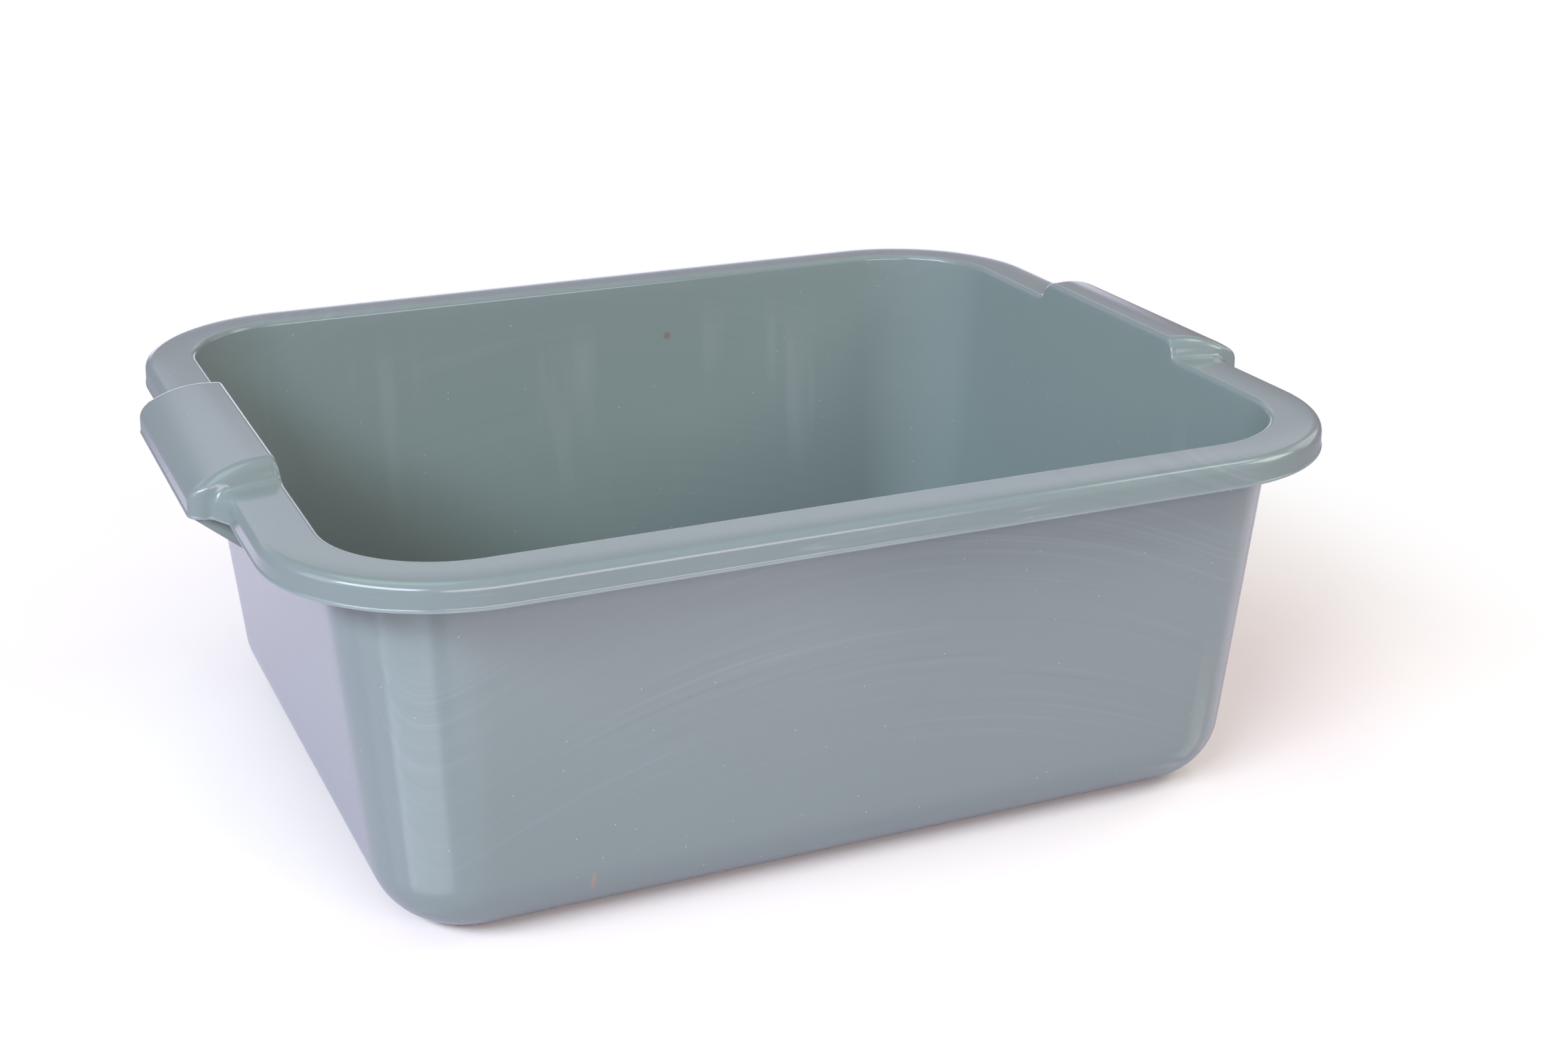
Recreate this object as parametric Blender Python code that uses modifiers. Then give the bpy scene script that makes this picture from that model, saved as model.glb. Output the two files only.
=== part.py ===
"""A rectangular washing-up basin with two domed end handles, moulded in one piece.

The long side lies along X, the short side along Y, and the underside rests on Z = 0.
A quarter of it is lofted from sections through the wall, rim and skirt, then mirrored.
A web then closes each end of the hollow under the two handles.
"""
import math

import bmesh
import bpy
import numpy as np
from mathutils import Vector

# The tub, measured outside, where the lines of its walls meet the underside and the rim's plane
BASE_LENGTH = 0.3168
BASE_WIDTH = 0.2568
BASE_CORNER = 0.031        # radius of the upright corner, at the underside
BASE_FILLET = 0.0252       # round between wall and underside
WALL = 0.0020              # thickness of the whole moulding

# The rim, which turns out and down into a skirt
RIM_LENGTH = 0.379
RIM_WIDTH = 0.320
RIM_CORNER = 0.0625        # radius of the skirt's corner in plan
RIM_BREADTH = 0.0199       # from the tub's inner face to the skirt's outer face
RIM_TOP = 0.1405           # height of the rim at its inner lip
RIM_FALL = 0.0008          # how much lower the rim lies at its outer edge
MOUTH_CORNER = 0.0404      # radius of the tub's inner corner at the rim
SKIRT_DEPTH = 0.0095       # from the rim's top to the skirt's lower edge
LIP_RADIUS = 0.0026        # round from the inner wall to the rim
CREASE_RADIUS = 0.0033     # round from the rim to the skirt

# The handles: a stretch of each short side that rises as a dome and stands out further
HANDLE_REACH = 0.011       # how far its outer face stands out beyond the rim's skirt
HANDLE_LENGTH = 0.1022     # along Y, where its ends are steepest
HANDLE_RISE = 0.007        # from the rim up to the dome's crest
DOME_FALL = 0.0092         # from the crest to the outer edge
DOME_BREADTH = 0.024       # the part of the top that curves down, from the outer face in
HANDLE_EDGE = 0.0024       # round from the dome to its skirt
HANDLE_CORNER = 0.0030     # upright round at each end of the outer face
HANDLE_THROAT = 0.0095     # upright hollow round from the end into the rim's skirt
HANDLE_TURN = math.radians(83)      # how far the outline turns in at the end of the handle
END_SETBACK = 0.0018       # from the steepest place of the outline to the top of the end's slope
END_CREST = 0.0022         # round at the top of that slope
END_FOOT = 0.0040          # hollow round at its foot
END_SLOPE = math.radians(65)        # steepest part of that slope, from level

# The webs that close the hollow under each handle at both ends
WEB_THICKNESS = 0.0020
WEB_SETBACK = 0.0022       # from the steepest place of the outline in to the web
WEB_DROP = 0.0335          # from the rim down to where the web's lower edge meets the tub
WEB_RELIEF = 0.0004        # how far the web stays above the skirt's lower edge

# How finely the rounds are drawn
CORNER_STEPS = 9
FILLET_STEPS = 5
ROUND_STEPS = 3
TOP_STEPS = 5
BEND_STEPS = 5
LEAST_ROUND = 0.0002       # least radius left on the inner side of a round
MERGE_DISTANCE = 0.00001
SHARP_ANGLE = math.radians(40)

PLASTIC_COLOUR = (0.20, 0.26, 0.25, 1)
PLASTIC_ROUGHNESS = 0.35


def mix(first, second, share):
    return first + (second - first) * share


def s_bend(drop, crest_radius, foot_radius, steepest):
    """Run and drop of a bend: an outward round, a straight at the steepest angle, a hollow round."""
    rounds = crest_radius + foot_radius
    turn = min(steepest, math.acos(max(1 - drop / rounds, -1)))
    straight = (drop - rounds * (1 - math.cos(turn))) / math.sin(turn)
    angles = np.linspace(0, turn, BEND_STEPS)
    crest = np.stack([np.sin(angles), 1 - np.cos(angles)], axis=1) * crest_radius
    foot = np.stack([-np.sin(angles), np.cos(angles) - 1], axis=1) * foot_radius
    end = crest[-1] + straight * np.array([math.cos(turn), math.sin(turn)]) - foot[-1]
    return np.concatenate([crest, (end + foot)[::-1]])


HANDLE_FACE = RIM_LENGTH / 2 + HANDLE_REACH
HANDLE_TOP = RIM_TOP + HANDLE_RISE
# Each bend has the same centres on the upper side and on the underside, one wall apart
OUTLINE_BENDS = [s_bend(HANDLE_REACH, max(HANDLE_CORNER - inset, 0), HANDLE_THROAT + inset, HANDLE_TURN)
                 for inset in (0, WALL)]
END_BENDS = [s_bend(HANDLE_RISE, max(END_CREST - inset, 0), END_FOOT + inset, END_SLOPE)
             for inset in (0, WALL)]
OUTLINE_START = HANDLE_LENGTH / 2 - OUTLINE_BENDS[0][BEND_STEPS - 1, 0]
END_START = HANDLE_LENGTH / 2 - END_SETBACK

MOUTH_LENGTH = RIM_LENGTH - 2 * RIM_BREADTH
MOUTH_WIDTH = RIM_WIDTH - 2 * RIM_BREADTH
DRAFT = math.atan(((MOUTH_LENGTH - BASE_LENGTH) / 2 + WALL) / RIM_TOP)
SKIRT_FOOT = RIM_TOP - SKIRT_DEPTH
CORNER_ANGLES = [math.pi / 2 * (1 - step / CORNER_STEPS) for step in range(CORNER_STEPS + 1)]
UPPER, UNDER = 0, 1
SECTION_SPACING = HANDLE_CORNER / 8     # least distance between two sections along the short side


def bend_places():
    """Places along the short side, outermost first, where the handle's two bends need a section."""
    wanted = sorted([*(OUTLINE_START + OUTLINE_BENDS[UPPER][:, 0]), *(END_START + END_BENDS[UPPER][:, 0])])
    places = [0.0]
    for place in wanted:
        if place - places[-1] > SECTION_SPACING:
            places.append(place)
    return places[::-1]


SHORT_SIDE = bend_places()


def handle_reach(y, side):
    """How far the outline stands out beyond the rim's at this place along the short side."""
    bend = OUTLINE_BENDS[side]
    return HANDLE_REACH - np.interp(abs(y) - OUTLINE_START, bend[:, 0], bend[:, 1])


def handle_share(y, side):
    """1 on the handle, 0 on the plain rim, following the slope of the handle's end."""
    bend = END_BENDS[side]
    return 1 - np.interp(abs(y) - END_START, bend[:, 0], bend[:, 1]) / HANDLE_RISE


def ring(half_x, half_y, radius, reach=lambda y: 0):
    """Plan points of a rounded rectangle's quarter, one for each section of the loft."""
    centre_x, centre_y = half_x - radius, half_y - radius
    points = [(0.0, half_y)]
    points += [(centre_x + radius * math.cos(a), centre_y + radius * math.sin(a)) for a in CORNER_ANGLES]
    points += [(half_x + reach(y), y) for y in SHORT_SIDE]
    return np.array(points)


def tub_ring(height, inset):
    """The tub's plan at a height, drawn in from its outer face by an inset."""
    share = height / RIM_TOP
    half_x = mix(BASE_LENGTH, MOUTH_LENGTH + 2 * WALL, share) / 2
    half_y = mix(BASE_WIDTH, MOUTH_WIDTH + 2 * WALL, share) / 2
    radius = mix(BASE_CORNER, MOUTH_CORNER + WALL, share)
    return ring(half_x - inset, half_y - inset, max(radius - inset, WALL))


def tub_fillet(inset):
    """Rows of the round between floor and wall, from the floor out, on the inner or outer face."""
    radius = BASE_FILLET - inset
    tangent_height = inset + radius * (1 - math.sin(DRAFT))
    rows = []
    for angle in np.linspace(math.pi / 2, DRAFT, FILLET_STEPS + 1):
        plan = tub_ring(tangent_height, inset + radius * (math.cos(DRAFT) - math.cos(angle)))
        height = inset + radius * (1 - math.sin(angle))
        rows.append([(x, y, height) for x, y in plan])
    return rows


def dome_height(x, inset):
    """An arc that falls by DOME_FALL over DOME_BREADTH, level inside of that, lowered by an inset."""
    radius = (DOME_BREADTH ** 2 + DOME_FALL ** 2) / (2 * DOME_FALL)
    run = np.clip(x - (HANDLE_FACE - DOME_BREADTH), 0, DOME_BREADTH)
    return HANDLE_TOP - radius + math.sqrt((radius - inset) ** 2 - run ** 2)


class Section:
    """A straight section through the rim, from the tub's mouth out to the skirt, in one quarter."""

    def __init__(self, inner, outer, side):
        self.inner, self.side, self.inset = inner, side, WALL * side
        self.breadth = np.linalg.norm(outer - inner)
        self.along = (outer - inner) / self.breadth
        on_short_side = inner[1] <= SHORT_SIDE[0]
        share = handle_reach(inner[1], side) / HANDLE_REACH if on_short_side else 0
        self.edge = max(mix(CREASE_RADIUS, HANDLE_EDGE, share) - self.inset, LEAST_ROUND)

    def place(self, distance, height):
        x, y = self.inner + self.along * distance
        return x, y, height

    def height(self, distance):
        """Height of the rim or handle at that distance out from the tub."""
        x, y = self.inner + self.along * distance
        rim = RIM_TOP - RIM_FALL * min(distance / RIM_BREADTH, 1) ** 2 - self.inset
        return mix(rim, dome_height(x, self.inset), handle_share(y, self.side))

    def slope(self):
        """Angle below level at which the top meets the round of its outer edge."""
        return math.atan((self.height(self.breadth - self.edge) - self.height(self.breadth)) / self.edge)

    def top(self, start, steps):
        """Points across the top, between the start and the round of the edge."""
        end = self.breadth - self.edge * (1 - math.sin(self.slope()))
        return [self.place(d, self.height(d)) for d in np.linspace(start, end, steps + 1)[1:-1]]

    def edge_round(self, steps):
        """The round from the slope of the top to the upright skirt, and the skirt's lower edge."""
        slope = self.slope()
        centre = self.breadth - self.edge
        tangent_height = self.height(self.breadth) - self.edge * math.tan((math.pi / 2 - slope) / 2)
        points = [self.place(centre + self.edge * math.sin(a), tangent_height + self.edge * math.cos(a))
                  for a in np.linspace(slope, math.pi / 2, steps + 1)]
        return points + [self.place(self.breadth, SKIRT_FOOT)]


def upper_section(inner, outer):
    """The lip from the sloping wall, the top, the edge's round and the skirt's outer face."""
    section = Section(inner, outer, UPPER)
    lip_top = section.height(LIP_RADIUS)
    centre = LIP_RADIUS + (lip_top - RIM_TOP) * math.tan(DRAFT)
    lip = [section.place(centre - LIP_RADIUS * math.cos(a), lip_top - LIP_RADIUS * (1 - math.sin(a)))
           for a in np.linspace(DRAFT, math.pi / 2, ROUND_STEPS + 1)]
    return lip + section.top(centre, TOP_STEPS) + section.edge_round(ROUND_STEPS)


def under_section(inner, outer):
    """The skirt's inner face, and the rim's underside in to the tub's outer wall."""
    section = Section(inner, outer, UNDER)
    corner_height = section.height(0)
    corner = (corner_height - RIM_TOP) * math.tan(DRAFT)
    wall_corner = [section.place(corner, corner_height)]
    return (wall_corner + section.top(corner, TOP_STEPS) + section.edge_round(ROUND_STEPS))[::-1]


def section_rows(make_section, inset):
    mouth = tub_ring(RIM_TOP, WALL - inset)
    outline = ring(RIM_LENGTH / 2 - inset, RIM_WIDTH / 2 - inset, RIM_CORNER - inset,
                   lambda y: handle_reach(y, UNDER if inset else UPPER))
    sections = [make_section(inner, outer) for inner, outer in zip(mouth, outline)]
    return [list(row) for row in zip(*sections)]


def mesh_object(name, bm, collection):
    mesh = bpy.data.meshes.new(name)
    bmesh.ops.recalc_face_normals(bm, faces=bm.faces)
    bm.to_mesh(mesh)
    bm.free()
    obj = bpy.data.objects.new(name, mesh)
    collection.objects.link(obj)
    return obj


def add_mirror(obj):
    mirror = obj.modifiers.new("Quarters", "MIRROR")
    mirror.use_axis = (True, True, False)
    mirror.merge_threshold = MERGE_DISTANCE


def build_moulding(collection):
    """A quarter of the moulding, lofted round its wall and open at both planes of symmetry."""
    rows = tub_fillet(WALL) + section_rows(upper_section, 0)
    rows += section_rows(under_section, WALL) + tub_fillet(0)[::-1]
    bm = bmesh.new()
    grid = [[bm.verts.new(point) for point in row] for row in rows]
    for row, height in ((grid[0], WALL), (grid[-1], 0)):
        bm.faces.new([bm.verts.new((0, 0, height))] + row)
    for lower, upper in zip(grid, grid[1:]):
        for k in range(len(lower) - 1):
            bm.faces.new((lower[k], lower[k + 1], upper[k + 1], upper[k]))
    moulding = mesh_object("basin_moulding", bm, collection)
    add_mirror(moulding)
    return moulding


def build_web(collection):
    """A handle's end web: from the skirt's inside in to the tub, its lower edge a straight slope."""
    web_y = HANDLE_LENGTH / 2 - WEB_SETBACK
    edge_x = HANDLE_FACE - HANDLE_EDGE
    skirt_x = HANDLE_FACE - WALL / 2

    def wall_x(height):
        return mix(BASE_LENGTH / 2, MOUTH_LENGTH / 2 + WALL, height / RIM_TOP) - WALL / 2

    top_x = wall_x(RIM_TOP)
    outline = [(x, dome_height(x, WALL / 2)) for x in np.linspace(top_x, edge_x, TOP_STEPS + 1)]
    outline.append((skirt_x, dome_height(HANDLE_FACE, 0) - HANDLE_EDGE))
    outline.append((skirt_x, SKIRT_FOOT + WEB_RELIEF))
    foot_height = RIM_TOP - WEB_DROP
    outline.append((wall_x(foot_height), foot_height))
    bm = bmesh.new()
    plate = bm.faces.new([bm.verts.new((x, web_y, z)) for x, z in outline])
    inward = bmesh.ops.extrude_face_region(bm, geom=[plate])
    moved = [item for item in inward["geom"] if isinstance(item, bmesh.types.BMVert)]
    bmesh.ops.translate(bm, verts=moved, vec=Vector((0, -WEB_THICKNESS, 0)))
    web = mesh_object("handle_webs", bm, collection)
    add_mirror(web)
    web.hide_render = True
    web.display_type = "WIRE"
    return web


def plastic():
    """Grey-green polypropylene with a soft gloss."""
    material = bpy.data.materials.new("grey_green_plastic")
    material.use_nodes = True
    shader = material.node_tree.nodes["Principled BSDF"]
    shader.inputs["Base Color"].default_value = PLASTIC_COLOUR
    shader.inputs["Roughness"].default_value = PLASTIC_ROUGHNESS
    shader.inputs["Metallic"].default_value = 0
    return material


def main():
    for obj in list(bpy.data.objects):
        bpy.data.objects.remove(obj, do_unlink=True)
    parts = bpy.data.collections.new("basin")
    cutters = bpy.data.collections.new("cutters")
    bpy.context.scene.collection.children.link(parts)
    bpy.context.scene.collection.children.link(cutters)

    moulding = build_moulding(parts)
    union = moulding.modifiers.new("Webs", "BOOLEAN")
    union.operation = "UNION"
    union.object = build_web(cutters)
    moulding.data.materials.append(plastic())
    moulding.data.shade_smooth()
    moulding.data.set_sharp_from_angle(angle=SHARP_ANGLE)


main()
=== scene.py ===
# %% [markdown]
# # A washing-up basin, moulded in one piece
# The real basin is one thin shell of grey-green polypropylene: a tapered tub, a broad rim that
# turns down into a skirt, and two domed handles. Here that shell is computed as one closed
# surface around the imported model, given a plastic that carries the marks of its moulding and
# its use, and lit as on a white studio table.

import math

import bpy
import numpy as np
from mathutils import Matrix, Vector


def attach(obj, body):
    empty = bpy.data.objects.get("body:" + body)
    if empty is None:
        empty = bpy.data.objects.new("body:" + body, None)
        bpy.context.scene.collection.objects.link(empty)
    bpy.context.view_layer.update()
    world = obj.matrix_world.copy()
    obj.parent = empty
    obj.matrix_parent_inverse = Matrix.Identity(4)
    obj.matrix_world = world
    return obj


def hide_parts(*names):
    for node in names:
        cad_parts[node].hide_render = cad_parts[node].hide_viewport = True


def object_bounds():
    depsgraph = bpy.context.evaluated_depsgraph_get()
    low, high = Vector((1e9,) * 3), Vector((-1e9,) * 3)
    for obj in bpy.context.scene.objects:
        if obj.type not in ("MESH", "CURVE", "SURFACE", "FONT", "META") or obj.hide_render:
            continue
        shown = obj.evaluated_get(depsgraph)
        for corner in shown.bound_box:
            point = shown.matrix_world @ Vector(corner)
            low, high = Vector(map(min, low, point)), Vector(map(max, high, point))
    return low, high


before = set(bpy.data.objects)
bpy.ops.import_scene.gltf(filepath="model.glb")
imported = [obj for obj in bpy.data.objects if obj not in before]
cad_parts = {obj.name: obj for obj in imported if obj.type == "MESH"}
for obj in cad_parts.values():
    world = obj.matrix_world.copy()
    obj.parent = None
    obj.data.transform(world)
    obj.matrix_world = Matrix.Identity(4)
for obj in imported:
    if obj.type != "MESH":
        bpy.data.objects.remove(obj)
cad_low, cad_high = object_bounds()
print("packed model, mm:", [round(1000 * (high - low), 1) for low, high in zip(cad_low, cad_high)])

# %% [markdown]
# ## Sizes
# The overall length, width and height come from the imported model. The rest are the sizes a
# mould maker would write on the drawing. Some rounds are finer or softer here than in the
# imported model, because the sharpness of an edge decides how its highlight looks.

# %% Sizes, in metres
HANDLE_FACE = cad_high.x        # from the middle out to a handle's outer face
RIM_SIDE = cad_high.y           # from the middle out to the long sides' skirt
HANDLE_TOP = cad_high.z         # height of a handle's crest
WALL = 0.0020                   # thickness of the whole shell

BASE_LENGTH = 0.3168            # the tub outside, where its walls' lines meet the underside
BASE_WIDTH = 0.2568
BASE_CORNER = 0.031             # upright corner there, in plan
BASE_FILLET = 0.0252            # round between wall and underside

HANDLE_REACH = 0.011            # from the rim's skirt out to the handle's face
HANDLE_RISE = 0.007             # from the rim up to the handle's crest
RIM_END = HANDLE_FACE - HANDLE_REACH
RIM_TOP = HANDLE_TOP - HANDLE_RISE
RIM_CORNER = 0.0625
RIM_BREADTH = 0.0199            # from the tub's inner face to the skirt
RIM_FALL = 0.0010               # how far the rim rolls down towards its outer edge
RIM_ROLL = 4                    # power of the way across by which it does, so mostly near the edge
MOUTH_CORNER = 0.0404
SKIRT_DEPTH = 0.0095
SKIRT_DRAFT = 0.0004            # how far the skirt's upper edge stands back
LIP_ROUND = 0.0022              # from the inner wall to the rim
CREASE_ROUND = 0.0036           # from the rim to the skirt
FOOT_ROUND = 0.0004             # along the skirt's lower edge
FLASH_HEIGHT = 0.0010           # the bead that the mould's joint leaves on that edge
FLASH_PROUD = 0.00025

DOME_FALL = 0.0092              # from the handle's crest to its outer edge
DOME_BREADTH = 0.024
DOME_ROUND = 0.0045             # from the dome to its skirt
END_ROUND = 0.0072              # the same round where it turns the handle's outer corners
HANDLE_LENGTH = 0.1022          # between the steepest places of the handle's two ends
OUTLINE_CREST = 0.0055          # the outline's outward round at the end of the handle's face
OUTLINE_HOLLOW = 0.0015         # the tight hollow at the foot of its steep part
OUTLINE_TURN = math.radians(79)
OUTLINE_EASE = 0.0042           # the last part of the step in, which eases in to the rim's skirt
EASE_HOLLOW = 0.0030
EASE_TURN = math.radians(27)
END_SETBACK = 0.0087            # from that steepest place to the top of the end's slope
END_CREST = 0.0060
END_HOLLOW = 0.0014
END_SLOPE = math.radians(66)
END_SKEW = 0.0035               # how much longer the handle's top is at the skirt than at the mouth
END_EASE = 0.0009               # the last part of the drop, which eases down to the rim
FOOT_HOLLOW = 0.0080
FOOT_SLOPE = math.radians(14)

WEB_THICKNESS = 0.0020          # the web that closes a handle's hollow at each end
WEB_SETBACK = 0.0022            # from the steepest place of the outline in to the web
WEB_DROP = 0.0362               # from the rim down to the foot of the web on the tub
WEB_RELIEF = 0.0004             # how far the web stays above the skirt's lower edge
WEB_ROUND = 0.0006              # along the web's lower edge
WEB_FILLET = 0.0030             # how far that edge bends down where it meets the tub
WEB_FILLET_SHARE = 0.22         # and the share of its length over which it does

MOUTH_X, MOUTH_Y = RIM_END - RIM_BREADTH, RIM_SIDE - RIM_BREADTH
DRAFT = math.atan((MOUTH_X + WALL - BASE_LENGTH / 2) / RIM_TOP)
SKIRT_FOOT = RIM_TOP - SKIRT_DEPTH
print("mouth, mm:", round(2000 * MOUTH_X, 1), round(2000 * MOUTH_Y, 1),
      "draft, degrees:", round(math.degrees(DRAFT), 1))

# %% [markdown]
# ## The handle's ends
# At its ends a handle drops to the rim in height, and steps in to the rim in plan. Each step is
# two bends in a row: a steep one, and an easier one that starts at its foot. Every bend is an
# outward round, a straight and a hollow round. One function gives the drop of such a bend at any
# distance along it, so the same formula serves all four. Another spreads the columns of the
# mesh, so that each round gets its share of them.


# %% Bends
def bend_plan(drop, crest, hollow, steepest):
    """The angle that a bend really turns through, and the runs to the ends of its three parts."""
    turn = min(steepest, math.acos(max(1 - drop / (crest + hollow), -1)))
    straight = (drop - (crest + hollow) * (1 - math.cos(turn))) / math.sin(turn)
    first = crest * math.sin(turn)
    second = first + straight * math.cos(turn)
    return turn, first, second, second + hollow * math.sin(turn)


def bend_drop(run, drop, crest, hollow, steepest):
    """Drop after a run: crest less the root of crest squared less run squared on the outward
    round, a straight line at the steepest angle, then the same round formula from the far end."""
    turn, first, second, whole = bend_plan(drop, crest, hollow, steepest)
    run = np.clip(run, 0, whole)
    outward = crest - np.sqrt(np.maximum(crest**2 - np.minimum(run, crest) ** 2, 0))
    straight = crest * (1 - math.cos(turn)) + (run - first) * math.tan(turn)
    back = np.minimum(whole - run, hollow)
    inward = drop - hollow + np.sqrt(hollow**2 - back**2)
    return np.where(run < first, outward, np.where(run < second, straight, inward))


def bend_stations(drop, crest, hollow, steepest, steps):
    """Runs at which the bend has turned by equal angles on each round, and equal steps between."""
    turn, first, second, whole = bend_plan(drop, crest, hollow, steepest)
    angles = np.linspace(0, turn, steps)
    return np.concatenate([crest * np.sin(angles), np.linspace(first, second, steps)[1:-1],
                           whole - hollow * np.sin(angles)])


OUTLINE_BEND = (HANDLE_REACH - OUTLINE_EASE, OUTLINE_CREST, OUTLINE_HOLLOW, OUTLINE_TURN)
OUTLINE_START = HANDLE_LENGTH / 2 - bend_plan(*OUTLINE_BEND)[1]
EASE_BEND = (OUTLINE_EASE, 0, EASE_HOLLOW, EASE_TURN)
EASE_START = OUTLINE_START + bend_plan(*OUTLINE_BEND)[2]
END_BEND = (HANDLE_RISE - END_EASE, END_CREST, END_HOLLOW, END_SLOPE)
END_START = HANDLE_LENGTH / 2 - END_SETBACK
FOOT_BEND = (END_EASE, 0, FOOT_HOLLOW, FOOT_SLOPE)
FOOT_START = END_START + bend_plan(*END_BEND)[2]
FOOT_RUN = bend_plan(*FOOT_BEND)[3]
print("outline steps in between, mm:", round(1000 * OUTLINE_START, 2),
      round(1000 * (EASE_START + bend_plan(*EASE_BEND)[3]), 2),
      "and the end drops between:", round(1000 * END_START, 2),
      round(1000 * (FOOT_START + FOOT_RUN), 2))

# %% [markdown]
# ## Rings in plan
# Every level of the shell is a rounded rectangle seen from above. The columns of the mesh run
# from the middle of a long side, round a corner, to the middle of a short side, and are then
# mirrored three times, so each ring has the same count of points and the columns line up from
# the floor to the skirt. Near the handles the columns stay at fixed places, where the bends
# need them.

# %% Columns
LONG_COLUMNS, CORNER_COLUMNS, SHORT_COLUMNS, HANDLE_COLUMNS, BEND_STEPS = 24, 26, 7, 14, 9
LEAST_COLUMN = 0.00016          # columns closer than this are merged into one

wanted = np.concatenate([OUTLINE_START + bend_stations(*OUTLINE_BEND, BEND_STEPS),
                         EASE_START + bend_stations(*EASE_BEND, BEND_STEPS // 2),
                         END_START + bend_stations(*END_BEND, BEND_STEPS),
                         FOOT_START + np.linspace(0, FOOT_RUN + END_SKEW, 2 * BEND_STEPS)])
places = np.unique(np.round(wanted / LEAST_COLUMN)) * LEAST_COLUMN
BEND_END = places[-1]
LONG_SHARES = np.linspace(0, 1, LONG_COLUMNS, endpoint=False)
CORNER_TURNS = np.linspace(math.pi / 2, 0, CORNER_COLUMNS)
SHORT_SHARES = np.linspace(1, 0, SHORT_COLUMNS)[1:-1]
HANDLE_PLACES = np.concatenate([places[::-1], np.linspace(places[0], 0, HANDLE_COLUMNS)[1:]])
QUARTER = LONG_COLUMNS + CORNER_COLUMNS + len(SHORT_SHARES) + len(HANDLE_PLACES)
there = np.arange(QUARTER)
back_again = there[::-1][1:]
LOOP = np.concatenate([there, back_again, there[1:], back_again[:-1]])
SIGN_X = np.repeat([1, -1], [2 * QUARTER - 1, 2 * QUARTER - 3])
SIGN_Y = np.repeat([1, -1, 1], [QUARTER, 2 * QUARTER - 2, QUARTER - 2])
print("columns round the basin:", len(LOOP))


def ring(half_x, half_y, radius, reach=None):
    """Points of a rounded rectangle: straight, quarter circle, straight, mirrored all round.
    reach, a function of the distance from the middle of the short side, stands it further out."""
    centre_x, centre_y = half_x - radius, half_y - radius
    short_y = np.concatenate([BEND_END + (centre_y - BEND_END) * SHORT_SHARES, HANDLE_PLACES])
    x = np.concatenate([centre_x * LONG_SHARES, centre_x + radius * np.cos(CORNER_TURNS),
                        half_x + (reach(short_y) if reach else 0 * short_y)])
    y = np.concatenate([0 * LONG_SHARES + half_y, centre_y + radius * np.sin(CORNER_TURNS), short_y])
    return np.stack([x[LOOP] * SIGN_X, y[LOOP] * SIGN_Y], axis=1)


def tub_ring(height, inset):
    """The tub's plan: base and mouth sizes mixed by height, then drawn in by the inset."""
    share = height / RIM_TOP
    half_x = BASE_LENGTH / 2 + (MOUTH_X + WALL - BASE_LENGTH / 2) * share
    half_y = BASE_WIDTH / 2 + (MOUTH_Y + WALL - BASE_WIDTH / 2) * share
    radius = BASE_CORNER + (MOUTH_CORNER + WALL - BASE_CORNER) * share
    return ring(half_x - inset, half_y - inset, radius - inset)


def level(plan, height):
    """A ring of 3D points from plan points and one height, or a height for each."""
    return np.column_stack([plan, np.broadcast_to(height, len(plan))])


# %% [markdown]
# ## Across the rim
# From the mouth out to the skirt, each column crosses the rim in a straight vertical plane.
# The height there is a mix: the plain rim's gentle fall, and the dome's arc on the handles,
# weighed by how far up the end's slope the column stands.


# %% Heights over rim and handle
LEAST_ROUND = 0.0003            # least radius left on the hollow side of a round


def offset_bend(bend, inset):
    """The same bend on a surface that lies deeper: outward rounds shrink and hollow ones grow."""
    drop, crest, hollow, steepest = bend
    return drop, max(crest - inset, 0), hollow + inset, steepest


def handle_reach(y, inset=0.0):
    """The handle's reach less the drops of the outline's two bends."""
    away = np.abs(y)
    return (HANDLE_REACH - bend_drop(away - OUTLINE_START, *offset_bend(OUTLINE_BEND, inset))
            - bend_drop(away - EASE_START, *offset_bend(EASE_BEND, inset)))


def handle_share(y, spread, inset=0.0):
    """1 on the handle and 0 on the plain rim: 1 less the end's two drops over the rise. The
    spread, 0 at the mouth and 1 at the skirt, moves both bends outwards by a share of the skew."""
    away = np.abs(y) - END_SKEW * spread
    drop = (bend_drop(away - END_START, *offset_bend(END_BEND, inset))
            + bend_drop(away - FOOT_START, *offset_bend(FOOT_BEND, inset)))
    return 1 - drop / HANDLE_RISE


def dome_height(x, inset):
    """An arc through the crest: its radius is (breadth squared + fall squared) over twice the
    fall, and the height is the centre's plus the root of radius squared less run squared."""
    radius = (DOME_BREADTH**2 + DOME_FALL**2) / (2 * DOME_FALL)
    run = np.clip(np.abs(x) - (HANDLE_FACE - DOME_BREADTH), 0, DOME_BREADTH)
    return HANDLE_TOP - radius + np.sqrt((radius - inset) ** 2 - run**2)


dome_ends = np.array([HANDLE_FACE - DOME_BREADTH, HANDLE_FACE])
print("dome above the rim at its crest and its face, mm:",
      np.round(1000 * (dome_height(dome_ends, 0) - RIM_TOP), 1))

# %% [markdown]
# ## The section of every column
# A rim could be a profile swept round the tub, but here it grows broader and higher at the
# handles. So the section is worked out for all columns at once, as arrays with one number for
# each column. The same section serves the upper side and, one wall lower, the hollow underside,
# which keeps the wall equally thick.


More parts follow.
